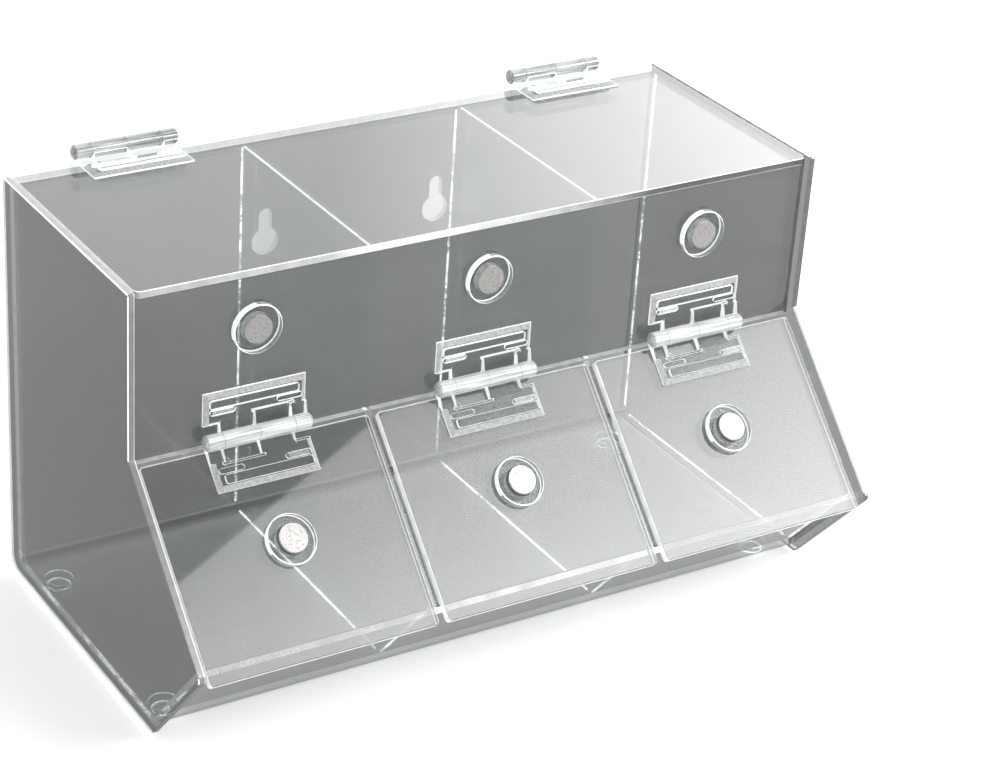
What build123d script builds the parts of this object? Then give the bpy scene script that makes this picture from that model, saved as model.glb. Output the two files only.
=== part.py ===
from build123d import *
import os
from math import hypot

# Three-compartment glove dispenser: a bent tray between two side panels, two
# dividers, a front panel, a hinged lid and three hinged doors, in clear acrylic.
# Millimetres. X runs along the width, Y from front to back, Z up. The origin is
# on the table, under the middle of the overall length and depth.

# Sheets
width = 317.5
side_depth = 118.0
side_height = 181.5
sheet = 3.0
crease_height = 111.5
slant_run = 63.0
slant_drop = 63.0
toe_reach = 21.5
heel_radius = 6.0
nose_radius = 3.0
corner_radius = 1.0
arris = 0.3

# Tray and front panel, set in from the edges of the side panels
front_setback = 3.0
tray_setback = 1.5
bend_radius = 3.0
bend_relief = 0.5
front_panel_drop = 4.2

# Keyholes in the back of the tray
keyhole_spacing = 84.0
keyhole_height = 132.8
keyhole_diameter = 12.7
keyhole_slot_width = 6.4
keyhole_slot_rise = 12.0

# Compartments, doors and lid
compartment_pitch = 104.0
door_width = 100.0
door_length = 88.5
door_top_gap = 2.7
door_corner_radius = 1.5
lid_side_gap = 0.5
lid_overhang = 2.0
lid_rear_gap = 0.3
lid_corner_radius = 3.0

# Hinges: one moulded leaf is used ten times, in pairs round a headed pin
leaf_width = 44.5
leaf_reach = 19.5
axis_height = 4.0
plate_thickness = 1.8
rim_bevel_width = 2.2
rim_bevel_height = 1.0
barrel_radius = 3.2
end_knuckle = 6.6
knuckle_gap = 0.2
window_reach = 8.0
notch_reach = 5.5
window_margin = 0.6
step_width = 1.0
step_depth = 0.9
web_root = 1.5
bar_length = 38.5
bar_width = 3.7
bar_height = 1.2
bar_edge_gap = 2.5
bar_end_gap = 3.8
rib_length = 11.0
rib_width = 2.2
rib_height = 0.8
rib_reach = 11.6
tooth_count = 9
tooth_pitch = 1.0
tooth_width = 0.5
tooth_height = 0.3
ejector_diameter = 3.4
ejector_height = 0.2
ejector_reach = 8.2
pin_radius = 1.2
pin_clearance = 0.05
pin_head_gap = 0.1
pin_head_height = 1.65

# Magnets in their clear rings
ring_diameter = 20.8
ring_height = 3.0
ring_chamfer = 0.4
magnet_diameter = 12.7
magnet_clearance = 0.05
magnet_reach = 44.0
panel_magnet_height = 3.0
door_magnet_height = 4.7
magnet_chamfer = 0.4

# Feet, stuck on by hand: x and y of each, y from the front edges of the sides
foot_diameter = 12.7
foot_tip_diameter = 9.6
foot_height = 3.5
foot_rounding = 0.9
feet = {
    "foot_front_left": (-145.9, -5.4),
    "foot_front_right": (142.5, -7.5),
    "foot_rear_left": (-145.9, 97.7),
    "foot_rear_right": (137.3, 99.8),
}

os.makedirs("parts", exist_ok=True)


def save(piece, node):
    """Label a finished piece and write it under its node name."""
    piece.label = node
    export_step(piece, f"parts/{node}.step")


def toward(start, end):
    """Unit direction from one (y, z) point to another."""
    length = hypot(end[0] - start[0], end[1] - start[1])
    return ((end[0] - start[0]) / length, (end[1] - start[1]) / length)


def inward(direction):
    """Normal on the inner side of an edge that runs down the front outline."""
    return (-direction[1], direction[0])


def shifted(point, direction, distance):
    """The (y, z) point moved along a direction."""
    return (point[0] + direction[0] * distance, point[1] + direction[1] * distance)


def crossing(point_a, direction_a, point_b, direction_b):
    """Point where the line through point_a meets the line through point_b."""
    gap_y = point_b[0] - point_a[0]
    gap_z = point_b[1] - point_a[1]
    turn = direction_a[0] * direction_b[1] - direction_a[1] * direction_b[0]
    along = (gap_y * direction_b[1] - gap_z * direction_b[0]) / turn
    return shifted(point_a, direction_a, along)


# Directions of the two front edges below the crease: slant, then chin
slant = toward((0, 0), (-slant_run, -slant_drop))
chin = toward((-slant_run, crease_height - slant_drop), (-toe_reach, 0))
slant_in = inward(slant)
chin_in = inward(chin)

# The rounded nose of the sides and the hinge barrels behind set the depth
nose_flat = (-slant_run, crease_height - slant_drop)
nose_centre = crossing(
    shifted(nose_flat, slant_in, nose_radius), slant,
    shifted(nose_flat, chin_in, nose_radius), chin,
)
nose_tip = nose_centre[0] - nose_radius
barrel_back = side_depth - tray_setback + axis_height + barrel_radius
front_y = -(nose_tip + barrel_back) / 2

# Levels and faces that several pieces share
half_width = width / 2
inner_half = half_width - sheet
side_bottom = foot_height - tray_setback
side_top = side_bottom + side_height
crease = (front_y, side_bottom + crease_height)
nose = (front_y - slant_run, crease[1] - slant_drop)
toe = (front_y - toe_reach, side_bottom)
side_back = front_y + side_depth
tray_back = side_back - tray_setback
tray_bottom = side_bottom + tray_setback
rim_top = side_top - sheet
panel_face = front_y + front_setback
panel_bottom = crease[1] - front_panel_drop
door_face = shifted(crease, slant_in, front_setback)
door_seat = shifted(crease, slant_in, front_setback + sheet)

# Hinge axes, as (y, z)
door_axis = crossing(
    (panel_face - axis_height, 0), (0, 1),
    shifted(door_face, slant_in, -axis_height), slant,
)
lid_axis = (tray_back + axis_height, side_top + axis_height)

# Side panels: one outline, mirrored by its place
side_outline = [
    (side_back, side_bottom),
    (side_back, side_top),
    (front_y, side_top),
    crease,
    nose,
    toe,
]
side_radii = [heel_radius, corner_radius, corner_radius, corner_radius, nose_radius, corner_radius]

for node, side_x in (("side_panel_left", -half_width), ("side_panel_right", inner_half)):
    with BuildPart() as side_panel:
        with BuildSketch(Plane.YZ.offset(side_x)):
            with BuildLine():
                FilletPolyline(*side_outline, radius=side_radii, close=True)
            make_face()
        extrude(amount=sheet)
        chamfer(side_panel.faces().filter_by(Axis.X).edges(), arris)
    save(side_panel.part, node)

# Tray: back, bottom and front lip bent from one sheet
lip_outer = shifted(nose, chin_in, front_setback)
lip_inner = shifted(nose, chin_in, front_setback + sheet)
lip_top_outer = crossing(lip_outer, chin, door_seat, slant)
lip_top_inner = crossing(lip_inner, chin, door_seat, slant)
fold_outer = crossing(lip_outer, chin, (0, tray_bottom), (1, 0))
fold_inner = crossing(lip_inner, chin, (0, tray_bottom + sheet), (1, 0))
tray_outside = [(tray_back, rim_top), (tray_back, tray_bottom), fold_outer, lip_top_outer]
tray_inside = [
    (tray_back - sheet, rim_top),
    (tray_back - sheet, tray_bottom + sheet),
    fold_inner,
    lip_top_inner,
]
keyhole_z = side_bottom + keyhole_height

with BuildPart() as tray:
    with BuildSketch(Plane.YZ.offset(-inner_half)):
        with BuildLine():
            FilletPolyline(*tray_outside, radius=bend_radius + sheet)
            FilletPolyline(*tray_inside, radius=bend_radius)
            Line(tray_outside[0], tray_inside[0])
            Line(tray_outside[-1], tray_inside[-1])
        make_face()
    extrude(amount=2 * inner_half)
    # Keyholes: a round entry for a screw head, with a narrow slot above it
    with BuildSketch(Plane.XZ.offset(-tray_back)):
        with Locations((0, keyhole_z)):
            with GridLocations(keyhole_spacing, 0, 2, 1):
                Circle(keyhole_diameter / 2)
        with Locations((0, keyhole_z + keyhole_slot_rise / 2)):
            with GridLocations(keyhole_spacing, 0, 2, 1):
                SlotCenterToCenter(keyhole_slot_rise, keyhole_slot_width, rotation=90)
    extrude(amount=sheet, mode=Mode.SUBTRACT)
save(tray.part, "tray")

# Dividers: they follow the inside of the tray and carry the doors' edges
divider_front = panel_face + sheet
divider_outline = [
    crossing((0, panel_bottom), (1, 0), door_seat, slant),
    (divider_front, panel_bottom),
    (divider_front, rim_top),
    (tray_back - sheet, rim_top),
    (tray_back - sheet, tray_bottom + sheet),
    fold_inner,
    lip_top_inner,
]

divider_radii = [0, 0, 0, 0, bend_radius + bend_relief, bend_radius + bend_relief, 0]

for node, divider_x in (
    ("divider_left", -compartment_pitch / 2),
    ("divider_right", compartment_pitch / 2),
):
    with BuildPart() as divider:
        with BuildSketch(Plane.YZ.offset(divider_x - sheet / 2)):
            with BuildLine():
                FilletPolyline(*divider_outline, radius=divider_radii, close=True)
            make_face()
        extrude(amount=sheet)
    save(divider.part, node)

# Front panel: glued to the sides and to the dividers' fronts
panel_plane = Plane(origin=(0, divider_front, 0), x_dir=(1, 0, 0), z_dir=(0, -1, 0))

with BuildPart() as front_panel:
    with BuildSketch(panel_plane):
        with Locations((0, (panel_bottom + rim_top) / 2)):
            Rectangle(2 * inner_half, rim_top - panel_bottom)
    extrude(amount=sheet)
    chamfer(front_panel.faces().sort_by(Axis.Y)[0].edges(), arris)
save(front_panel.part, "front_panel")

# Lid: drops between the side panels on to the rims of the tray, dividers and front
lid_front = panel_face - lid_overhang
lid_back = tray_back - lid_rear_gap

with BuildPart() as lid:
    with BuildSketch(Plane.XY.offset(rim_top)):
        with Locations((0, (lid_front + lid_back) / 2)):
            lid_blank = Rectangle(2 * (inner_half - lid_side_gap), lid_back - lid_front)
        fillet(lid_blank.vertices().group_by(Axis.Y)[0], lid_corner_radius)
    extrude(amount=sheet)
    chamfer(lid.faces().filter_by(Axis.Z).edges(), arris)
save(lid.part, "lid")

# Doors: flat plates on the slant, resting on the dividers and on the lip's edge
slant_normal = (0, -slant_in[0], -slant_in[1])


def slant_plane(origin, x=0):
    """Workplane on the slant: its local Y runs up the slant, its normal outward."""
    return Plane(origin=(x, *origin), x_dir=(1, 0, 0), z_dir=slant_normal)


door_columns = {
    "left": -compartment_pitch,
    "middle": 0,
    "right": compartment_pitch,
}

for side, door_x in door_columns.items():
    with BuildPart() as door:
        with BuildSketch(slant_plane(door_seat, door_x)):
            with Locations((0, -door_top_gap - door_length / 2)):
                RectangleRounded(door_width, door_length, door_corner_radius)
        extrude(amount=sheet)
        chamfer(door.faces().filter_by(Axis((0, 0, 0), slant_normal)).edges(), arris)
    save(door.part, f"door_{side}")

# Hinge leaf: the pin's axis is local X, the leaf lies below it along local -Y.
# Its knuckles are the end one on the left and the middle one right of centre.
half_leaf = leaf_width / 2
middle_knuckle = (leaf_width - 2 * end_knuckle - 3 * knuckle_gap) / 2
own_knuckles = [
    (-half_leaf, end_knuckle),
    (knuckle_gap / 2, middle_knuckle),
]
window_centre = -(knuckle_gap + middle_knuckle) / 2
window_width = middle_knuckle + 2 * window_margin
notch_width = end_knuckle + window_margin
notch_centre = half_leaf - notch_width / 2
plate_bottom = -axis_height
plate_top = plate_bottom + plate_thickness
step_level = plate_top - step_depth
bar_y = -(leaf_reach - bar_edge_gap - bar_width / 2)
bar_x = bar_end_gap + bar_length / 2 - half_leaf
rib_x = half_leaf - rim_bevel_width - rib_length / 2
web_outline = [
    (-window_reach, plate_bottom),
    (-web_root, plate_bottom),
    (0, 0),
    (-barrel_radius, plate_top / 2),
    (-window_reach, plate_top),
]

with BuildPart() as leaf:
    # Plate with a bevelled rim on its three free sides
    with BuildSketch(Plane.XY.offset(plate_bottom)):
        with Locations((0, -leaf_reach / 2)):
            Rectangle(leaf_width, leaf_reach)
    extrude(amount=plate_thickness)
    plate_face = leaf.faces().sort_by(Axis.Z)[-1]
    rim = plate_face.edges().sort_by(Axis.Y)[:-1]
    chamfer(rim, rim_bevel_width, rim_bevel_height, reference=plate_face)
    # Stepped window and stepped notch that clear the other leaf's knuckles
    for centre_x, opening_width, opening_reach in (
        (window_centre, window_width, window_reach),
        (notch_centre, notch_width, notch_reach),
    ):
        with BuildSketch(Plane.XY.offset(plate_bottom)):
            with Locations((centre_x, 0)):
                Rectangle(opening_width, 2 * opening_reach)
        extrude(amount=plate_thickness, mode=Mode.SUBTRACT)
        with BuildSketch(Plane.XY.offset(step_level)):
            with Locations((centre_x, 0)):
                Rectangle(opening_width + 2 * step_width, 2 * (opening_reach + step_width))
        extrude(amount=step_depth, mode=Mode.SUBTRACT)
    # Knuckles on their webs
    for knuckle_x, knuckle_length in own_knuckles:
        with BuildSketch(Plane.YZ.offset(knuckle_x)):
            with BuildLine():
                Polyline(*web_outline, close=True)
            make_face()
            Circle(barrel_radius)
        extrude(amount=knuckle_length)
    # Long bar, two short round-ended ribs, teeth on one of them, and an ejector mark
    with BuildSketch(Plane.XY.offset(plate_top)):
        with Locations((bar_x, bar_y)):
            RectangleRounded(bar_length, bar_width, bar_width / 4)
    extrude(amount=bar_height)
    with BuildSketch(Plane.XY.offset(plate_top)):
        with Locations((-rib_x, -rib_reach), (rib_x, -rib_reach)):
            SlotOverall(rib_length, rib_width)
    extrude(amount=rib_height)
    with BuildSketch(Plane.XY.offset(plate_top + rib_height)):
        with Locations((rib_x, -rib_reach)):
            with GridLocations(tooth_pitch, 0, tooth_count, 1):
                Rectangle(tooth_width, rib_width)
    extrude(amount=tooth_height)
    with BuildSketch(Plane.XY.offset(plate_top)):
        with Locations((-half_leaf + end_knuckle, -ejector_reach)):
            Circle(ejector_diameter / 2)
    extrude(amount=ejector_height)
    # Bore for the pin
    with BuildSketch(Plane.YZ.offset(-half_leaf)):
        Circle(pin_radius + pin_clearance)
    extrude(amount=leaf_width, mode=Mode.SUBTRACT)

# Pin: a rod with a domed head at each end of the barrel
head_x = half_leaf + pin_head_gap
dome_x = head_x + pin_head_height
dome_radius = (barrel_radius**2 + pin_head_height**2) / (2 * pin_head_height)

with BuildPart() as pin:
    with BuildSketch(Plane.XY):
        with BuildLine():
            Polyline((-head_x, barrel_radius), (-head_x, pin_radius), (head_x, pin_radius),
                     (head_x, barrel_radius))
            RadiusArc((head_x, barrel_radius), (dome_x, 0), dome_radius)
            Line((dome_x, 0), (-dome_x, 0))
            RadiusArc((-dome_x, 0), (-head_x, barrel_radius), dome_radius)
        make_face()
    revolve(axis=Axis.X)

# Each hinge: the plane of its moving leaf, and of its fixed leaf turned end for end
door_hinges = {f"door_{side}": door_x for side, door_x in door_columns.items()}
lid_hinges = {"lid_left": -compartment_pitch, "lid_right": compartment_pitch}
hinge_planes = {}
for hinge, hinge_x in door_hinges.items():
    hinge_planes[hinge] = (
        slant_plane(door_axis, hinge_x),
        Plane(origin=(hinge_x, *door_axis), x_dir=(-1, 0, 0), z_dir=(0, -1, 0)),
    )
for hinge, hinge_x in lid_hinges.items():
    hinge_planes[hinge] = (
        Plane(origin=(hinge_x, *lid_axis), x_dir=(1, 0, 0), z_dir=(0, 0, 1)),
        Plane(origin=(hinge_x, *lid_axis), x_dir=(-1, 0, 0), z_dir=(0, 1, 0)),
    )

for hinge, (moving_plane, fixed_plane) in hinge_planes.items():
    for node, place, pattern in (
        (f"{hinge}_hinge_moving_leaf", moving_plane, leaf),
        (f"{hinge}_hinge_fixed_leaf", fixed_plane, leaf),
        (f"{hinge}_hinge_pin", moving_plane, pin),
    ):
        with BuildPart() as placed:
            with Locations(place):
                add(pattern.part)
        save(placed.part, node)

# Magnets: each sits in a clear ring, at one distance from the hinge on both sides
magnet_radius = magnet_diameter / 2


def magnet_set(plane, magnet_height, ring_node, magnet_node):
    """One ring and its magnet, glued to the face that the plane lies on."""
    with BuildPart() as ring:
        with BuildSketch(plane):
            Circle(ring_diameter / 2)
            Circle(magnet_radius + magnet_clearance, mode=Mode.SUBTRACT)
        extrude(amount=ring_height)
        outer_edges = ring.edges().filter_by(GeomType.CIRCLE)
        chamfer(outer_edges.sort_by(lambda edge: edge.radius)[-2:], ring_chamfer)
    save(ring.part, ring_node)
    with BuildPart() as magnet:
        with BuildSketch(plane):
            Circle(magnet_radius)
        extrude(amount=magnet_height)
        chamfer(magnet.edges().filter_by(GeomType.CIRCLE), magnet_chamfer)
    save(magnet.part, magnet_node)


door_magnet_seat = shifted(
    shifted(door_axis, slant_in, axis_height), slant, magnet_reach
)
for side, magnet_x in door_columns.items():
    panel_spot = Plane(
        origin=(magnet_x, panel_face, door_axis[1] + magnet_reach),
        x_dir=(1, 0, 0),
        z_dir=(0, -1, 0),
    )
    magnet_set(panel_spot, panel_magnet_height, f"panel_ring_{side}", f"panel_magnet_{side}")
    door_spot = slant_plane(door_magnet_seat, magnet_x)
    magnet_set(door_spot, door_magnet_height, f"door_ring_{side}", f"door_magnet_{side}")

# Feet: tapered bumpers under the tray
for node, (foot_x, foot_y) in feet.items():
    with BuildPart() as foot:
        with BuildSketch(Plane.XZ.offset(-front_y - foot_y)):
            with BuildLine():
                Polyline(
                    (foot_x, 0),
                    (foot_x, foot_height),
                    (foot_x + foot_diameter / 2, foot_height),
                    (foot_x + foot_tip_diameter / 2, 0),
                    close=True,
                )
            make_face()
        revolve(axis=Axis((foot_x, front_y + foot_y, 0), (0, 0, 1)))
        fillet(foot.edges().filter_by(GeomType.CIRCLE).sort_by(Axis.Z)[0], foot_rounding)
    save(foot.part, node)
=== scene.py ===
import math

import bmesh
import bpy
import numpy as np
from mathutils import Matrix, Vector


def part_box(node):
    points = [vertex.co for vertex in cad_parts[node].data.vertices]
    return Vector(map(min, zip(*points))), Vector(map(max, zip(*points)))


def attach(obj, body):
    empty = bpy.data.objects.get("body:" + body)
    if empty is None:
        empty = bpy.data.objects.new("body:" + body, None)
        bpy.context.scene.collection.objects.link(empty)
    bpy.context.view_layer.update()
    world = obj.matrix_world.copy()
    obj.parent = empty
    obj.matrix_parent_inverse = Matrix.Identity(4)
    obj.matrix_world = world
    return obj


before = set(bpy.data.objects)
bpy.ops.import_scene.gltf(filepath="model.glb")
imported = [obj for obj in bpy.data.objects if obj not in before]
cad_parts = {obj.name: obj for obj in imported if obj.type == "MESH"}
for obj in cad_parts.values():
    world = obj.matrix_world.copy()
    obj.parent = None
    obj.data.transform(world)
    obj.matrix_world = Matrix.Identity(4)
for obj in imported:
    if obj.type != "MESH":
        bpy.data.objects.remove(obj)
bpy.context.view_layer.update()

bl_info = {
    "name": "Clear Acrylic Glove Dispenser",
    "version": (1, 0, 0),
    "blender": (4, 5, 0),
    "location": "View3D > Sidebar > Dispenser",
    "description": "Finishes a three-door glove dispenser of clear acrylic and sets its studio",
    "category": "Object",
}

MM = 0.001
SIDES = ("left", "middle", "right")
DIVIDERS = ("divider_left", "divider_right")
DOORS = tuple(f"door_{side}" for side in SIDES)
HINGES = DOORS + ("lid_left", "lid_right")
FEET = ("foot_front_left", "foot_front_right", "foot_rear_left", "foot_rear_right")
SLANT = Vector((0.0, -math.sqrt(0.5), math.sqrt(0.5)))
FRONT = Vector((0.0, -1.0, 0.0))
BACK = Vector((0.0, 1.0, 0.0))
UP = Vector((0.0, 0.0, 1.0))
# Outward from the tray's sloping front, under the doors
CHIN = np.array((0.0, -0.76, -0.65))
UP_LEFT = np.array((-0.8, 0.0, 0.6))
# How much of a face's normal points one way if the face looks that way, or only leans that way
FACING = 0.9
LEANING = 0.3
# Inner and outer faces of the side panels and of the dividers, in millimetres from the middle
SIDE_FACES = (155.75, 158.75)
DIVIDER_FACES = (50.5, 53.5)
# The tray's heel bend reaches less than this far up
BEND_ZONE = 20.0 * MM
# Everything this near to a hinge's axis is barrel
BARREL_RADIUS = 3.3 * MM


# ---------------------------------------------------------------- settings


class DispenserSettings(bpy.types.PropertyGroup):
    """Colours and finishes of the dispenser, and the painted shade of its clear sheets."""

    # The share of light that each sheet lets through is painted shade: clear acrylic darkened to
    # stand for the dark surroundings seen through it, set sheet by sheet as the light falls,
    # darkest on the side panels.
    shell_painted_shade: bpy.props.FloatProperty(
        name="Shell painted shade",
        description="Share of light that one face of the outer sheets lets through",
        default=0.58,
        min=0.0,
        max=1.0,
        subtype="FACTOR",
    )
    side_painted_shade: bpy.props.FloatProperty(
        name="Side painted shade",
        description="Share of light that one face of the side panels lets through",
        default=0.49,
        min=0.0,
        max=1.0,
        subtype="FACTOR",
    )
    lid_painted_shade: bpy.props.FloatProperty(
        name="Lid painted shade",
        description="Share of light that one face of the lid lets through",
        default=0.66,
        min=0.0,
        max=1.0,
        subtype="FACTOR",
    )
    floor_painted_shade: bpy.props.FloatProperty(
        name="Floor painted shade",
        description="Share of light that one face of the tray's floor lets through",
        default=0.84,
        min=0.0,
        max=1.0,
        subtype="FACTOR",
    )
    tray_painted_shade: bpy.props.FloatProperty(
        name="Tray painted shade",
        description="Share of light that one face of the tray lets through",
        default=0.55,
        min=0.0,
        max=1.0,
        subtype="FACTOR",
    )
    divider_painted_shade: bpy.props.FloatProperty(
        name="Divider painted shade",
        description="Share of light that one face of the dividers lets through",
        default=0.97,
        min=0.0,
        max=1.0,
        subtype="FACTOR",
    )
    haze: bpy.props.FloatProperty(
        name="Haze",
        description="Share of light that the wiped face of a sheet scatters",
        default=0.03,
        min=0.0,
        max=1.0,
        subtype="FACTOR",
    )
    sheet_tint: bpy.props.StringProperty(
        name="Sheet tint",
        description="Colour of the light that a sheet lets through, as hex",
        default="FBFDFD",
    )
    edge_colour: bpy.props.StringProperty(
        name="Edge colour",
        description="Colour of the light that a polished edge scatters, as hex",
        default="F7F9F9",
    )
    nickel: bpy.props.StringProperty(
        name="Nickel",
        description="Colour of the plating on the magnets, as hex",
        default="919190",
    )


class StudioSettings(bpy.types.PropertyGroup):
    """Lamps, floor and camera of the studio."""

    door_power: bpy.props.FloatProperty(
        name="Right lamp power",
        description="Power of the soft box above the right, which the doors mirror",
        default=22.0,
        min=0.0,
        subtype="POWER",
    )
    lid_power: bpy.props.FloatProperty(
        name="Rear lamp power",
        description="Power of the soft box behind, which the lid mirrors",
        default=6.0,
        min=0.0,
        subtype="POWER",
    )
    world_light: bpy.props.FloatProperty(
        name="World light",
        description="Strength of the plain light from all round",
        default=0.6,
        min=0.0,
    )
    lens: bpy.props.FloatProperty(
        name="Lens",
        description="Focal length of the camera",
        default=99.36,
        min=1.0,
        unit="CAMERA",
    )


def linear(hex_colour):
    """An sRGB hex colour as linear red, green, blue and an alpha of 1."""
    channels = [int(hex_colour[i : i + 2], 16) / 255 for i in (0, 2, 4)]
    straight = [c / 12.92 if c <= 0.04045 else ((c + 0.055) / 1.055) ** 2.4 for c in channels]
    return (*straight, 1.0)


# ---------------------------------------------------------------- materials


def add_node(tree, kind, inputs=None, **settings):
    """Add a node, set its properties, and give each input a value or a link."""
    node = tree.nodes.new(kind)
    for name, value in settings.items():
        setattr(node, name, value)
    for name, value in (inputs or {}).items():
        if isinstance(value, bpy.types.NodeSocket):
            tree.links.new(value, node.inputs[name])
        else:
            node.inputs[name].default_value = value
    return node


def new_material(name):
    """A material with an empty node tree."""
    material = bpy.data.materials.new(name)
    material.use_nodes = True
    material.node_tree.nodes.clear()
    return material


def finish_material(material, shader):
    """Link a shader to the material's surface."""
    tree = material.node_tree
    add_node(tree, "ShaderNodeOutputMaterial", {"Surface": shader})
    return material


def object_coordinates(tree):
    """The socket of the piece's own coordinates, in metres."""
    return add_node(tree, "ShaderNodeTexCoord").outputs["Object"]


def mirror_share(tree, head_on, at_a_glance):
    """How much a face of acrylic mirrors: a little head on, more at a glance."""
    facing = add_node(tree, "ShaderNodeLayerWeight", {"Blend": 0.5}).outputs["Facing"]
    steep = add_node(tree, "ShaderNodeMath", {0: facing, 1: 4.0}, operation="POWER")
    share = add_node(
        tree,
        "ShaderNodeMath",
        {0: steep.outputs[0], 1: at_a_glance, 2: head_on},
        operation="MULTIPLY_ADD",
    )
    return share.outputs[0]


def see_through(tree, clear, scatter, scatter_share, gloss_share, gloss):
    """Acrylic that lets light straight through, scatters a share and mirrors a share."""
    hazed = add_node(tree, "ShaderNodeMixShader", {0: scatter_share, 1: clear, 2: scatter})
    glossed = add_node(
        tree, "ShaderNodeMixShader", {0: gloss_share, 1: hazed.outputs[0], 2: gloss}
    )
    return glossed.outputs[0]


def sheet_face(name, settings, painted_shade, head_on=0.04, haze_boost=1.0):
    """Cast acrylic sheet, polished in the mould: clear, darkened by painted shade, with wipe
    marks.
    """
    material = new_material(name)
    tree = material.node_tree
    place = object_coordinates(tree)
    tint = [channel * painted_shade for channel in linear(settings.sheet_tint)[:3]]
    clear = add_node(tree, "ShaderNodeBsdfTransparent", {"Color": (*tint, 1.0)})
    # Wiping leaves faint streaks along the sheet, about 40 mm long and 7 mm apart
    stretched = add_node(
        tree, "ShaderNodeMapping", {"Vector": place, "Scale": (25.0, 140.0, 140.0)}
    )
    streaks = add_node(
        tree,
        "ShaderNodeTexNoise",
        {"Vector": stretched.outputs[0], "Scale": 1.0, "Detail": 4.0, "Roughness": 0.6},
    )
    haze = add_node(
        tree,
        "ShaderNodeMapRange",
        {
            "Value": streaks.outputs[0],
            "From Min": 0.3,
            "From Max": 0.75,
            "To Min": settings.haze * haze_boost * 0.7,
            "To Max": settings.haze * haze_boost * 1.4,
        },
    )
    scatter = add_node(tree, "ShaderNodeBsdfDiffuse", {"Color": linear("F2F5F5")})
    gloss = add_node(
        tree,
        "ShaderNodeBsdfAnisotropic",
        {"Color": linear("FFFFFF"), "Roughness": 0.03},
        distribution="GGX",
    )
    surface = see_through(
        tree,
        clear.outputs[0],
        scatter.outputs[0],
        haze.outputs[0],
        mirror_share(tree, head_on, 0.4),
        gloss.outputs[0],
    )
    return finish_material(material, surface)


def band_profile(tree, place, axis, both_sides, start, end, stops):
    """White share along an axis, the same on both sides of the middle or on one only."""
    across = add_node(tree, "ShaderNodeSeparateXYZ", {"Vector": place}).outputs[axis]
    if both_sides:
        across = add_node(tree, "ShaderNodeMath", {0: across}, operation="ABSOLUTE").outputs[0]
    across = add_node(
        tree,
        "ShaderNodeMapRange",
        {"Value": across, "From Min": start * MM, "From Max": end * MM},
    )
    ramp = add_node(tree, "ShaderNodeValToRGB", {"Fac": across.outputs[0]})
    elements = ramp.color_ramp.elements
    elements[0].position, elements[1].position = stops[0][0], stops[-1][0]
    elements[0].color = (stops[0][1],) * 3 + (1.0,)
    elements[1].color = (stops[-1][1],) * 3 + (1.0,)
    for position, share in stops[1:-1]:
        elements.new(position).color = (share, share, share, 1.0)
    return ramp.outputs[0]


def edge_face(name, settings, glow, body, painted_glow=0.0, waves_per_metre=180.0, band=None):
    """Edge of acrylic: partly clear, partly white, with a painted glow that stands for the light
    it pipes out.
    """
    material = new_material(name)
    tree = material.node_tree
    place = object_coordinates(tree)
    # The saw's waves are left under the polish, 5.6 mm apart at 180 to the metre.
    # Small mouldings have finer flecks instead, of 1.1 to 3.3 mm, and the heat bend and
    # the lip have longer ones, of 33 and 9 mm.
    waves = add_node(
        tree,
        "ShaderNodeTexNoise",
        {"Vector": place, "Scale": waves_per_metre, "Detail": 2.0, "Roughness": 0.5},
    )
    share = add_node(
        tree,
        "ShaderNodeMapRange",
        {
            "Value": waves.outputs[0],
            "From Min": 0.35,
            "From Max": 0.65,
            "To Min": glow * 0.8,
            "To Max": min(1.0, glow * 1.2),
        },
    ).outputs[0]
    if band:
        profile = band_profile(tree, place, *band)
        share = add_node(
            tree, "ShaderNodeMath", {0: share, 1: profile}, operation="MULTIPLY"
        ).outputs[0]
    clear = add_node(tree, "ShaderNodeBsdfTransparent", {"Color": linear(body)})
    white = add_node(tree, "ShaderNodeBsdfDiffuse", {"Color": linear(settings.edge_colour)})
    light = add_node(
        tree,
        "ShaderNodeEmission",
        {"Color": linear(settings.edge_colour), "Strength": painted_glow},
    )
    both = add_node(
        tree, "ShaderNodeAddShader", {0: white.outputs[0], 1: light.outputs[0]}
    )
    gloss = add_node(
        tree,
        "ShaderNodeBsdfAnisotropic",
        {"Color": linear("FFFFFF"), "Roughness": 0.15},
        distribution="GGX",
    )
    surface = see_through(
        tree, clear.outputs[0], both.outputs[0], share, mirror_share(tree, 0.05, 0.4),
        gloss.outputs[0],
    )
    return finish_material(material, surface)


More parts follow.
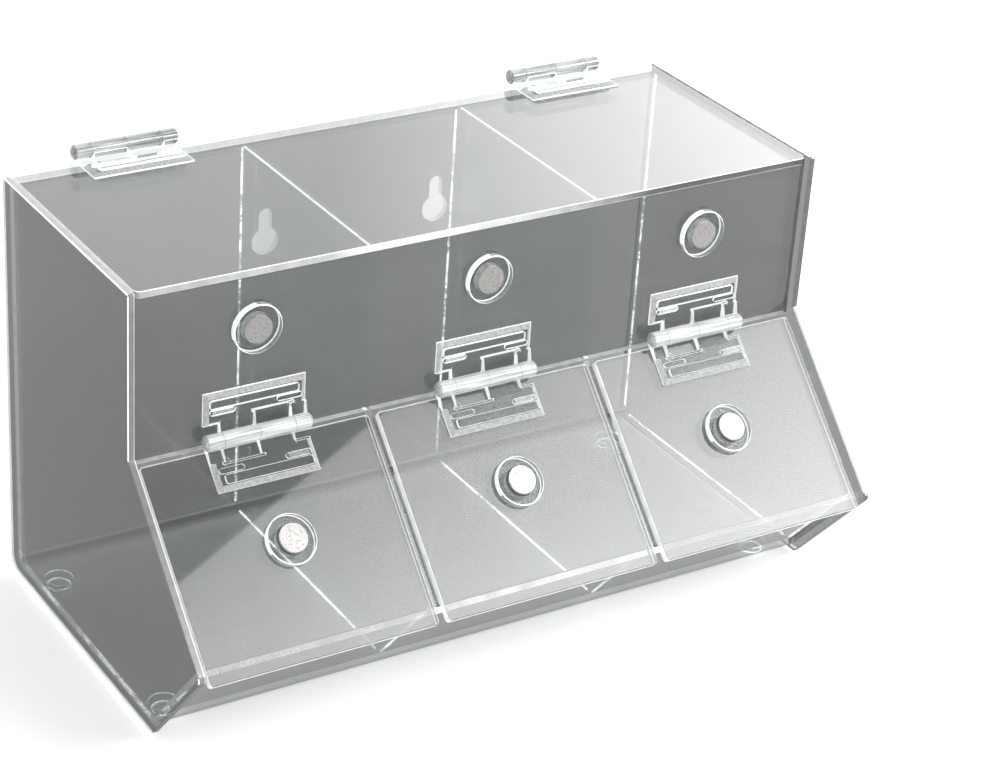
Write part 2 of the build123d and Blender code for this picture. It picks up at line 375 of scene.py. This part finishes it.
def cement(name, settings, strength, driest, wettest):
    """Solvent cement in a joint: clear, with rows of small bubbles that glow, as painted light.
    """
    material = new_material(name)
    tree = material.node_tree
    place = object_coordinates(tree)
    # Bubbles are 1.6 mm apart and about 1 mm across at most
    bubbles = add_node(
        tree, "ShaderNodeTexVoronoi", {"Vector": place, "Scale": 620.0, "Randomness": 0.8}
    )
    # The cement wets some stretches of the joint and starves others, 15 mm long, and the
    # starved ones have small bubbles
    wetting = add_node(
        tree, "ShaderNodeTexNoise", {"Vector": place, "Scale": 65.0, "Detail": 1.0}
    )
    bubble_size = add_node(
        tree,
        "ShaderNodeMapRange",
        {
            "Value": wetting.outputs[0],
            "From Min": 0.42,
            "From Max": 0.58,
            "To Min": driest,
            "To Max": wettest,
        },
    )
    share = add_node(
        tree,
        "ShaderNodeMapRange",
        {
            "Value": bubbles.outputs["Distance"],
            "From Min": 0.0,
            "From Max": bubble_size.outputs[0],
            "To Min": 1.0,
            "To Max": 0.08,
        },
    )
    clear = add_node(tree, "ShaderNodeBsdfTransparent", {"Color": linear("E4E8E8")})
    light = add_node(
        tree, "ShaderNodeEmission", {"Color": linear(settings.edge_colour), "Strength": strength}
    )
    gloss = add_node(
        tree,
        "ShaderNodeBsdfAnisotropic",
        {"Color": linear("FFFFFF"), "Roughness": 0.1},
        distribution="GGX",
    )
    surface = see_through(
        tree,
        clear.outputs[0],
        light.outputs[0],
        share.outputs[0],
        mirror_share(tree, 0.05, 0.4),
        gloss.outputs[0],
    )
    return finish_material(material, surface)


def milky_barrel(name, settings, clearest, milkiest):
    """Moulded acrylic knuckle: flow lines along the core make it milky and streaked."""
    material = new_material(name)
    tree = material.node_tree
    place = object_coordinates(tree)
    # Flow lines run along the barrel, 0.7 mm apart and 20 mm long
    stretched = add_node(
        tree, "ShaderNodeMapping", {"Vector": place, "Scale": (50.0, 1500.0, 1500.0)}
    )
    lines = add_node(
        tree, "ShaderNodeTexNoise", {"Vector": stretched.outputs[0], "Scale": 1.0, "Detail": 2.0}
    )
    share = add_node(
        tree,
        "ShaderNodeMapRange",
        {
            "Value": lines.outputs[0],
            "From Min": 0.35,
            "From Max": 0.65,
            "To Min": clearest,
            "To Max": milkiest,
        },
    )
    clear = add_node(tree, "ShaderNodeBsdfTransparent", {"Color": linear("C4C8C8")})
    white = add_node(tree, "ShaderNodeBsdfDiffuse", {"Color": linear(settings.edge_colour)})
    gloss = add_node(
        tree,
        "ShaderNodeBsdfAnisotropic",
        {"Color": linear("FFFFFF"), "Roughness": 0.12},
        distribution="GGX",
    )
    surface = see_through(
        tree,
        clear.outputs[0],
        white.outputs[0],
        share.outputs[0],
        mirror_share(tree, 0.06, 0.6),
        gloss.outputs[0],
    )
    return finish_material(material, surface)


def nickel_plate(settings):
    """Nickel plating on a pressed magnet: satin grey, with tumbling marks 0.5 mm across."""
    material = new_material("nickel_plated_magnet")
    tree = material.node_tree
    place = object_coordinates(tree)
    tumbled = add_node(
        tree, "ShaderNodeTexNoise", {"Vector": place, "Scale": 2000.0, "Detail": 2.0}
    )
    rough = add_node(
        tree,
        "ShaderNodeMapRange",
        {"Value": tumbled.outputs[0], "To Min": 0.3, "To Max": 0.5},
    )
    # Specks up to 0.5 mm across, where dust sticks to the plating, are warmer
    specks = add_node(
        tree, "ShaderNodeTexNoise", {"Vector": place, "Scale": 2000.0, "Detail": 1.0}
    )
    colour = add_node(tree, "ShaderNodeValToRGB", {"Fac": specks.outputs[0]})
    for element, position, shade in zip(
        colour.color_ramp.elements, (0.6, 0.64), (settings.nickel, "6F6858")
    ):
        element.position = position
        element.color = linear(shade)
    metal = add_node(
        tree,
        "ShaderNodeBsdfPrincipled",
        {
            "Base Color": colour.outputs[0],
            "Metallic": 1.0,
            "Roughness": rough.outputs[0],
        },
    )
    return finish_material(material, metal.outputs[0])


# ---------------------------------------------------------------- assignment


def triangles(node):
    """Normals and middles of a CAD node's triangles."""
    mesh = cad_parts[node].data
    normals = np.zeros(len(mesh.polygons) * 3)
    centres = np.zeros(len(mesh.polygons) * 3)
    mesh.polygons.foreach_get("normal", normals)
    mesh.polygons.foreach_get("center", centres)
    return normals.reshape(-1, 3), centres.reshape(-1, 3)


def paint(node, materials, slots):
    """Give a CAD node its materials and each triangle its slot."""
    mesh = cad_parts[node].data
    mesh.materials.clear()
    for material in materials:
        mesh.materials.append(material)
    mesh.polygons.foreach_set("material_index", np.asarray(slots, dtype=np.int32))
    mesh.update()


def paint_all(node, material):
    """Give a whole CAD node one material."""
    paint(node, [material], np.zeros(len(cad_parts[node].data.polygons)))


class DISPENSER_OT_sheets(bpy.types.Operator):
    """Finish the faces and edges of the flat sheets and of the bent tray"""

    bl_idname = "dispenser.sheets"
    bl_label = "Finish sheets"

    def execute(self, context):
        settings = context.scene.dispenser
        # Cast sheet is clear and mirrors at a glance; what lies behind looks greyer through each
        # sheet's painted shade, set sheet by sheet as the light falls
        shell = sheet_face("cast_acrylic_shell", settings, settings.shell_painted_shade)
        inner = sheet_face("cast_acrylic_divider", settings, settings.divider_painted_shade)
        tray = sheet_face("cast_acrylic_tray", settings, settings.tray_painted_shade)
        side = sheet_face("cast_acrylic_side", settings, settings.side_painted_shade)
        lip_face = sheet_face("cast_acrylic_lip", settings, settings.shell_painted_shade)
        lid = sheet_face("cast_acrylic_lid", settings, settings.lid_painted_shade)
        # The tray's floor lets more light through than the rest of the same sheet, which is
        # painted light, and scatters more haze
        floor = sheet_face("cast_acrylic_tray_floor", settings, settings.floor_painted_shade, haze_boost=6.5)
        # The tray's sawn end, cemented to the side panel, shows rows of bubbles, which glow
        # bright as painted light
        joint = cement("cemented_saw_cut", settings, strength=2.5, driest=0.15, wettest=0.75)
        # The heat bend bends light away, painted here as a dark line of painted shade with a
        # painted highlight, pale and glowing, above it
        heel_shade = sheet_face("heat_bend_painted_shade", settings, settings.tray_painted_shade * 0.5)
        heel_painted_highlight = edge_face(
            "heel_painted_highlight", settings, glow=0.3, body="A0A4A4", painted_glow=0.6, waves_per_metre=30.0
        )
        # The lip's sawn edge, just under the doors, is a white strip of painted light with a
        # glow, with a dark line above it
        lip_edge = edge_face(
            "lip_edge", settings, glow=0.85, body="6E7272", painted_glow=0.65, waves_per_metre=110.0,
            band=("Z", False, 48.0, 50.2, ((0.0, 1.0), (0.8, 1.0), (0.88, 0.0), (1.0, 0.0))),
        )
        # Polished edges are painted white with a glow, as painted light, where they pipe light to
        # the eye, and painted grey or dark, as painted shade, elsewhere
        lit_edge = edge_face("painted_lit_edge", settings, glow=0.9, body="C9CECE", painted_glow=0.5)
        half_shaded_edge = edge_face("painted_half_shaded_edge", settings, glow=0.12, body="9A9E9E")
        shaded_edge = edge_face("painted_shaded_edge", settings, glow=0.06, body="5A5E5E")
        # The side panels' edges carry one or two painted white lines, painted light with a glow,
        # for the light inside the sheet
        top_edge = edge_face(
            "side_top_edge", settings, glow=1.0, body="9CA0A0", painted_glow=0.3,
            band=(
                "X", True, *SIDE_FACES,
                ((0.0, 1.0), (0.12, 0.9), (0.2, 0.4), (0.75, 0.4), (0.84, 1.0), (1.0, 1.0)),
            ),
        )
        rear_edge = edge_face(
            "side_rear_edge", settings, glow=1.0, body="626666", painted_glow=1.2,
            band=("X", True, *SIDE_FACES, ((0.0, 0.05), (0.6, 0.05), (0.7, 1.0), (1.0, 1.0))),
        )
        left_edge = edge_face(
            "left_side_edge", settings, glow=1.0, body="A8ACAC", painted_glow=0.3,
            band=("X", True, *SIDE_FACES, ((0.0, 1.0), (0.12, 0.9), (0.2, 0.18), (1.0, 0.2))),
        )
        right_edge = edge_face(
            "right_side_edge", settings, glow=0.7, body="7A7E7E", painted_glow=0.3,
            band=(
                "X", True, *SIDE_FACES,
                ((0.0, 0.1), (0.4, 0.12), (0.5, 0.9), (0.75, 0.9), (0.85, 0.15), (1.0, 0.1)),
            ),
        )
        # The lid's front edge is painted light, whitest left of its middle, and painted shade,
        # dark at its right
        lid_edge = edge_face(
            "lid_edge", settings, glow=1.0, body="6C7070", painted_glow=0.3,
            band=(
                "X", False, -155.0, 155.0,
                ((0.0, 0.45), (0.27, 0.5), (0.33, 0.95), (0.5, 0.7), (0.66, 0.3), (0.75, 0.03)),
            ),
        )
        # A divider's top edge carries one painted white line of light, with a glow
        divider_top = edge_face(
            "divider_edge", settings, glow=0.9, body="E0E4E4", painted_glow=1.3,
            band=("X", True, *DIVIDER_FACES, ((0.0, 0.1), (0.5, 0.1), (0.6, 1.0), (1.0, 1.0))),
        )
        # Left and lower edges of the doors get the painted light, and the others painted shade
        for node in DOORS:
            normals, _ = triangles(node)
            flat = np.abs(normals @ np.array(SLANT)) > FACING
            lit = (normals[:, 0] < -LEANING) | (np.abs(normals[:, 2]) > LEANING)
            paint(node, [shell, lit_edge, half_shaded_edge], np.where(flat, 0, np.where(lit, 1, 2)))
        for node, front_edge in (
            ("side_panel_left", left_edge),
            ("side_panel_right", right_edge),
        ):
            normals, centres = triangles(node)
            flat = np.abs(normals[:, 0]) > FACING
            slanted = (normals[:, 1] < -LEANING) & (normals[:, 2] > LEANING)
            upright = normals[:, 1] < -FACING
            front = slanted | (upright & (centres[:, 0] < 0))
            top = normals[:, 2] > FACING
            # Forward edges of the right panel, and edges that slope down and forward, get painted
            # shade
            shaded = upright | ((normals[:, 1] < -LEANING) & (normals[:, 2] < -LEANING))
            slots = np.select([flat, front, top, shaded], [0, 1, 2, 3], 4)
            paint(node, [side, front_edge, top_edge, shaded_edge, rear_edge], slots)
        # The front panel's lower edges get painted light, and its other edges painted shade
        normals, _ = triangles("front_panel")
        flat = np.abs(normals[:, 1]) > FACING
        slots = np.select([flat, normals[:, 2] < -LEANING], [0, 1], 2)
        paint("front_panel", [shell, lit_edge, half_shaded_edge], slots)
        # The lid's left and rear edges get painted light, its front edge its painted band, and
        # its right edges painted shade
        normals, _ = triangles("lid")
        flat = np.abs(normals[:, 2]) > FACING
        front = (normals[:, 1] < -LEANING) & (np.abs(normals[:, 2]) < 0.5)
        slots = np.select([flat, front, normals[:, 0] > LEANING], [0, 2, 3], 1)
        paint("lid", [lid, lit_edge, lid_edge, shaded_edge], slots)
        # A divider's sloping front edge gets painted shade
        for node in DIVIDERS:
            normals, _ = triangles(node)
            top = normals[:, 2] > FACING
            slanted = (normals[:, 1] < -LEANING) & (normals[:, 2] > LEANING)
            flat = ~top & ~slanted
            paint(node, [inner, divider_top, half_shaded_edge], np.where(flat, 0, np.where(top, 1, 2)))
        normals, centres = triangles("tray")
        low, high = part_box("tray")
        ends = np.abs(normals[:, 0]) > FACING
        rim = (normals[:, 2] > FACING) & (centres[:, 2] > high.z - MM)
        lip = (normals @ np.array(SLANT) > FACING) & (centres[:, 1] < 0)
        above_bend = centres[:, 2] > low.z + BEND_ZONE
        keyholes = (np.abs(normals[:, 1]) < 0.1) & above_bend & ~rim
        left_end = ends & (centres[:, 0] < 0)
        front_lip = (np.abs(normals @ CHIN) > 0.999) & (centres[:, 1] < -40 * MM)
        # The bend at the heel, by how many degrees its surface has turned from upright
        turn = np.degrees(np.arctan2(np.abs(normals[:, 2]), np.abs(normals[:, 1])))
        at_heel = (centres[:, 1] > 50 * MM) & (centres[:, 2] < BEND_ZONE) & ~ends
        heel = at_heel & (turn > 36) & (turn < 74)
        gleam = at_heel & (turn > 8) & (turn <= 36)
        bottom = (np.abs(normals[:, 2]) > 0.999) & (centres[:, 2] < BEND_ZONE)
        # Keyhole edges get painted light, and the tray's rim painted shade
        finishes = (
            (keyholes, lit_edge),
            (left_end, joint),
            (rim, half_shaded_edge),
            (lip, lip_edge),
            (heel, heel_shade),
            (gleam, heel_painted_highlight),
            (front_lip, lip_face),
            (bottom, floor),
        )
        kinds = [kind for kind, _ in finishes]
        slots = np.select(kinds, range(1, len(kinds) + 1), 0)
        paint("tray", [tray, *(finish for _, finish in finishes)], slots)
        return {"FINISHED"}


# Joints at the inner corners of sheets: start and end in millimetres, and the way into the open
JOINTS = {
    "cement_divider_left_rear": ((-53.5, 82.608, 10.0), (-53.5, 82.608, 180.0), (-1, -1, 0)),
    "cement_divider_left_bottom": ((-53.5, 78.0, 6.5), (-53.5, -45.0, 6.5), (-1, 0, 1)),
    "cement_divider_right_rear": ((50.5, 82.608, 10.0), (50.5, 82.608, 180.0), (-1, -1, 0)),
    "cement_divider_right_bottom": ((50.5, 78.0, 6.5), (50.5, -45.0, 6.5), (-1, 0, 1)),
    "cement_right_rear": ((155.75, 82.608, 10.0), (155.75, 82.608, 180.0), (-1, -1, 0)),
    "cement_right_bottom": ((155.75, 78.0, 6.5), (155.75, -45.0, 6.5), (-1, 0, 1)),
    "cement_divider_left_chin": ((-53.5, -49.2, 7.6), (-53.5, -84.3, 48.5), (-1, 0.76, 0.65)),
    "cement_divider_right_chin": ((50.5, -49.2, 7.6), (50.5, -84.3, 48.5), (-1, 0.76, 0.65)),
    "cement_right_chin": ((155.75, -49.2, 7.6), (155.75, -84.3, 48.5), (-1, 0.76, 0.65)),
}
BEAD_RADIUS = 0.45 * MM
# A bead is a little thicker or thinner every so often
BEAD_RIPPLE = 3.0 * MM


def bead(name, start, end, corner):
    """Model one bead of cement: a thin wavy rod with rounded ends, in its corner."""
    start, end, corner = Vector(start) * MM, Vector(end) * MM, Vector(corner)
    offset = corner * BEAD_RADIUS * 0.8
    span = end - start
    bpy.ops.object.select_all(action="DESELECT")
    bpy.ops.mesh.primitive_cylinder_add(
        vertices=8,
        radius=BEAD_RADIUS,
        depth=span.length,
        location=(start + end) / 2 + offset,
        rotation=span.to_track_quat("Z", "Y").to_euler(),
    )
    piece = bpy.context.object
    piece.name = name
    bpy.ops.object.transform_apply(location=True, rotation=True, scale=True)
    along = span.normalized()
    bpy.ops.object.mode_set(mode="EDIT")
    bpy.ops.mesh.select_mode(type="FACE")
    bpy.ops.mesh.select_all(action="DESELECT")
    mesh = bmesh.from_edit_mesh(piece.data)
    for face in mesh.faces:
        face.select_set(abs(face.normal.dot(along)) > 0.9)
    bmesh.update_edit_mesh(piece.data)
    bpy.ops.mesh.inset(thickness=BEAD_RADIUS * 0.4, depth=BEAD_RADIUS * 0.3)
    bpy.ops.mesh.select_mode(type="EDGE")
    bpy.ops.mesh.select_all(action="DESELECT")
    mesh = bmesh.from_edit_mesh(piece.data)
    for edge in mesh.edges:
        edge.select_set(edge.calc_length() > span.length * 0.9)
    bmesh.update_edit_mesh(piece.data)
    bpy.ops.mesh.subdivide(number_cuts=int(span.length / BEAD_RIPPLE))
    bpy.ops.mesh.select_all(action="SELECT")
    bpy.ops.transform.vertex_random(offset=BEAD_RADIUS * 0.35, seed=len(name), normal=0.0)
    bpy.ops.mesh.normals_make_consistent(inside=False)
    bpy.ops.object.mode_set(mode="OBJECT")
    bpy.ops.object.shade_smooth()
    return piece


class DISPENSER_OT_cement(bpy.types.Operator):
    """Model the beads of cement in the joints between sheets"""

    bl_idname = "dispenser.cement"
    bl_label = "Add cement beads"

    def execute(self, context):
        settings = context.scene.dispenser
        # Squeezed-out cement is a clear wavy rod, as bright as its bubbles, which glow as painted
        # light
        material = cement(
            "solvent_cement_bead", settings, strength=5.0, driest=0.5, wettest=1.1
        )
        for name, (start, end, corner) in JOINTS.items():
            piece = bead(name, start, end, corner)
            piece.data.materials.append(material)
            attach(piece, "base")
        return {"FINISHED"}


def hinge_axis(hinge):
    """Height and depth of a hinge's pin."""
    low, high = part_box(f"{hinge}_hinge_pin")
    middle = (low + high) / 2
    return np.array((middle.y, middle.z))


class DISPENSER_OT_hinges(bpy.types.Operator):
    """Finish the moulded hinge leaves, their pins and the clear rings"""

    bl_idname = "dispenser.hinges"
    bl_label = "Finish hinges and rings"

    def execute(self, context):
        settings = context.scene.dispenser
        # Moulded acrylic: clear plates with milky knuckles, and white rims and a flecked bevel
        # that glow as painted light
        plate = sheet_face("moulded_acrylic_plate", settings, painted_shade=0.86, head_on=0.012)
        wall = edge_face(
            "ring_wall", settings, glow=0.4, body="A8ACAC", painted_glow=0.15, waves_per_metre=600.0
        )
        rim = edge_face(
            "moulded_acrylic_edge", settings, glow=0.9, body="E4E8E8", painted_glow=0.8,
            waves_per_metre=400.0,
        )
        bevel = edge_face(
            "moulded_acrylic_bevel", settings, glow=0.36, body="D0D4D4", painted_glow=0.22,
            waves_per_metre=900.0,
        )
        far_bevel = edge_face(
            "moulded_acrylic_far_bevel", settings, glow=0.7, body="E4E8E8", painted_glow=0.9,
            waves_per_metre=300.0,
        )
        knuckle = milky_barrel(
            "moulded_acrylic_knuckle", settings, clearest=0.45, milkiest=0.95
        )
        clear_knuckle = milky_barrel(
            "moulded_acrylic_clear_knuckle", settings, clearest=0.1, milkiest=0.75
        )
        for hinge in HINGES:
            axis = hinge_axis(hinge)
            barrel = knuckle if hinge in DOORS else clear_knuckle
            flats = {
                f"{hinge}_hinge_moving_leaf": SLANT if hinge in DOORS else UP,
                f"{hinge}_hinge_fixed_leaf": FRONT if hinge in DOORS else BACK,
            }
            for node, normal in flats.items():
                normals, centres = triangles(node)
                lean = np.abs(normals @ np.array(normal))
                near = np.linalg.norm(centres[:, 1:] - axis, axis=1) < BARREL_RADIUS
                # The lid's fixed leaves get the brighter painted light on their bevel
                frame_bevel = far_bevel if normal is BACK else bevel
                slots = np.select([near, lean > 0.96, lean > 0.8], [2, 0, 3], 1)
                paint(node, [plate, rim, barrel, frame_bevel], slots)
            paint_all(f"{hinge}_hinge_pin", barrel)
        for side in SIDES:
            for ring, normal in ((f"panel_ring_{side}", FRONT), (f"door_ring_{side}", SLANT)):
                normals, centres = triangles(ring)
                low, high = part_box(ring)
                outward = centres - np.array((low + high) / 2)
                lean = np.abs(normals @ np.array(normal))
                # The outer wall gets a painted highlight, white with a glow, where it looks up
                # and to the left
                gleams = (np.einsum("ij,ij->i", normals, outward) > 0) & (normals @ UP_LEFT > 0.6)
                kinds = [lean > 0.95, (lean > LEANING) | gleams]
                paint(ring, [plate, rim, wall], np.select(kinds, [0, 1], 2))
        return {"FINISHED"}


class DISPENSER_OT_magnets(bpy.types.Operator):
    """Finish the nickel-plated magnets"""

    bl_idname = "dispenser.magnets"
    bl_label = "Finish magnets"

    def execute(self, context):
        nickel = nickel_plate(context.scene.dispenser)
        for side in SIDES:
            for node in (f"panel_magnet_{side}", f"door_magnet_{side}"):
                paint_all(node, nickel)
        return {"FINISHED"}


class DISPENSER_OT_feet(bpy.types.Operator):
    """Finish the clear bumper feet"""

    bl_idname = "dispenser.feet"
    bl_label = "Finish feet"

    def execute(self, context):
        settings = context.scene.dispenser
        # Moulded polyurethane: clear, but for a white ring round its foot and one at its top,
        # which glow strongly as painted light
        clear = sheet_face("clear_rubber_bumper", settings, painted_shade=0.95, head_on=0.02)
        ring = edge_face("bumper_rounded_edge", settings, glow=1.0, body="D0D4D4", painted_glow=4.0)
        wall = edge_face(
            "bumper_wall", settings, glow=1.0, body="D0D4D4", painted_glow=4.0,
            band=("Z", False, 0.5, 3.5, ((0.0, 0.03), (0.8, 0.03), (0.9, 1.0), (1.0, 1.0))),
        )
        for node in FEET:
            normals, _ = triangles(node)
            flat = np.abs(normals[:, 2]) > 0.95
            rounded = normals[:, 2] < -0.43
            paint(node, [clear, ring, wall], np.select([flat, rounded], [0, 1], 2))
        return {"FINISHED"}


# ---------------------------------------------------------------- stage


def seen_rays(tree):
    """1 for rays from the camera, mirrors and glass, which show the background."""
    path = add_node(tree, "ShaderNodeLightPath")
    first = add_node(
        tree,
        "ShaderNodeMath",
        {0: path.outputs["Is Camera Ray"], 1: path.outputs["Is Glossy Ray"]},
        operation="MAXIMUM",
    )
    both = add_node(
        tree,
        "ShaderNodeMath",
        {0: first.outputs[0], 1: path.outputs["Is Transmission Ray"]},
        operation="MAXIMUM",
    )
    return both.outputs[0]


def lamp(name, corner, across, along, power, side, reach, start, end):
    """A rectangular soft box whose light changes over part of one of its sides."""
    across, along = Vector(across), Vector(along)
    bpy.ops.object.light_add(type="AREA", location=Vector(corner) + (across + along) / 2)
    light = bpy.context.object
    light.name = name
    light.data.shape = "RECTANGLE"
    light.data.size = across.length
    light.data.size_y = along.length
    light.data.energy = power
    x_axis = across.normalized()
    y_axis = along.normalized()
    turn = Matrix((x_axis, y_axis, x_axis.cross(y_axis))).transposed()
    light.rotation_euler = turn.to_euler()
    light.data.use_nodes = True
    tree = light.data.node_tree
    tree.nodes.clear()
    spot = add_node(tree, "ShaderNodeTexCoord").outputs["UV"]
    along_side = add_node(tree, "ShaderNodeSeparateXYZ", {"Vector": spot}).outputs[side]
    strength = add_node(
        tree,
        "ShaderNodeMapRange",
        {"Value": along_side, "From Max": reach, "To Min": start, "To Max": end},
    )
    glow = add_node(
        tree,
        "ShaderNodeEmission",
        {"Color": linear("FFFFFF"), "Strength": strength.outputs[0]},
    )
    add_node(tree, "ShaderNodeOutputLight", {"Surface": glow.outputs[0]})
    return light


# Where the camera stands, how it is turned, and how far its centre is off the middle
CAMERA_PLACE = (-0.54395, -0.86119, 0.63293)
CAMERA_RIGHT = Vector((0.86133, -0.50565, 0.04925))
CAMERA_UP = Vector((0.19939, 0.42562, 0.88266))
CAMERA_BACK = Vector((-0.46728, -0.75044, 0.46742))
CAMERA_SHIFT = (0.0722, -0.0046)


class DISPENSER_OT_stage(bpy.types.Operator):
    """Add the floor, the lamps, the world and the camera"""

    bl_idname = "dispenser.stage"
    bl_label = "Set the studio"

    def execute(self, context):
        studio = context.scene.studio
        bpy.ops.object.select_all(action="DESELECT")
        bpy.ops.mesh.primitive_plane_add(size=12.0, location=(0.0, 0.0, 0.0))
        floor = context.object
        floor.name = "floor"
        # Matt white paper keeps the shadow, and its lift makes the rest as white as the backdrop
        material = new_material("matt_white_paper")
        tree = material.node_tree
        paper = add_node(tree, "ShaderNodeBsdfDiffuse", {"Color": linear("F7F7F7")})
        lift = add_node(tree, "ShaderNodeEmission", {"Color": linear("FFFFFF"), "Strength": 0.45})
        both = add_node(tree, "ShaderNodeAddShader", {0: paper.outputs[0], 1: lift.outputs[0]})
        shown = add_node(
            tree,
            "ShaderNodeMixShader",
            {0: seen_rays(tree), 1: paper.outputs[0], 2: both.outputs[0]},
        )
        finish_material(material, shown.outputs[0])
        floor.data.materials.append(material)
        # World: plain soft light, and a white background
        world = bpy.data.worlds.new("studio_world")
        world.use_nodes = True
        tree = world.node_tree
        tree.nodes.clear()
        strength = add_node(
            tree,
            "ShaderNodeMapRange",
            {"Value": seen_rays(tree), "To Min": studio.world_light, "To Max": 1.0},
        )
        backdrop = add_node(
            tree,
            "ShaderNodeBackground",
            {"Color": linear("FFFFFF"), "Strength": strength.outputs[0]},
        )
        add_node(tree, "ShaderNodeOutputWorld", {"Surface": backdrop.outputs[0]})
        context.scene.world = world
        # The doors mirror the right lamp: its near edge crosses the left door aslant
        lamp(
            "right_soft_box",
            corner=(1.0734, -0.2432, 1.01),
            across=(-0.9372, -0.5764, 0.0),
            along=(0.393, -0.639, 0.0),
            power=studio.door_power,
            side="Y",
            reach=0.6,
            start=0.42,
            end=1.42,
        )
        # The lid mirrors the rear lamp
        lamp(
            "rear_soft_box",
            corner=(1.5, 1.2, 0.45),
            across=(-1.3, 0.0, 0.0),
            along=(0.0, 0.0, 0.7),
            power=studio.lid_power,
            side="X",
            reach=0.68,
            start=3.9,
            end=0.58,
        )
        # The camera looks from the left of the front and from above
        bpy.ops.object.camera_add(location=CAMERA_PLACE)
        camera = context.object
        camera.name = "camera"
        turn = Matrix((CAMERA_RIGHT, CAMERA_UP, CAMERA_BACK)).transposed()
        camera.rotation_euler = turn.to_euler()
        camera.data.lens = studio.lens
        camera.data.sensor_width = 36.0
        camera.data.shift_x, camera.data.shift_y = CAMERA_SHIFT
        context.scene.camera = camera
        context.scene.view_settings.view_transform = "Standard"
        # Many clear faces lie one behind another
        context.scene.cycles.transparent_max_bounces = 64
        context.scene.cycles.max_bounces = 16
        return {"FINISHED"}


# ---------------------------------------------------------------- panel


class DISPENSER_PT_panel(bpy.types.Panel):
    """Lists the dispenser's operators in the sidebar"""

    bl_label = "Dispenser"
    bl_idname = "DISPENSER_PT_panel"
    bl_space_type = "VIEW_3D"
    bl_region_type = "UI"
    bl_category = "Dispenser"

    def draw(self, context):
        for operator in OPERATORS:
            self.layout.operator(operator.bl_idname)


OPERATORS = (
    DISPENSER_OT_sheets,
    DISPENSER_OT_cement,
    DISPENSER_OT_hinges,
    DISPENSER_OT_magnets,
    DISPENSER_OT_feet,
    DISPENSER_OT_stage,
)
CLASSES = (DispenserSettings, StudioSettings, *OPERATORS, DISPENSER_PT_panel)


def register():
    """Register the classes and their settings."""
    for cls in CLASSES:
        bpy.utils.register_class(cls)
    bpy.types.Scene.dispenser = bpy.props.PointerProperty(type=DispenserSettings)
    bpy.types.Scene.studio = bpy.props.PointerProperty(type=StudioSettings)


def unregister():
    """Take the classes and their settings away again."""
    del bpy.types.Scene.studio
    del bpy.types.Scene.dispenser
    for cls in reversed(CLASSES):
        bpy.utils.unregister_class(cls)


def main():
    """Run the operators in order."""
    register()
    for operator in OPERATORS:
        group, name = operator.bl_idname.split(".")
        getattr(getattr(bpy.ops, group), name)()


if __name__ == "__main__":
    main()
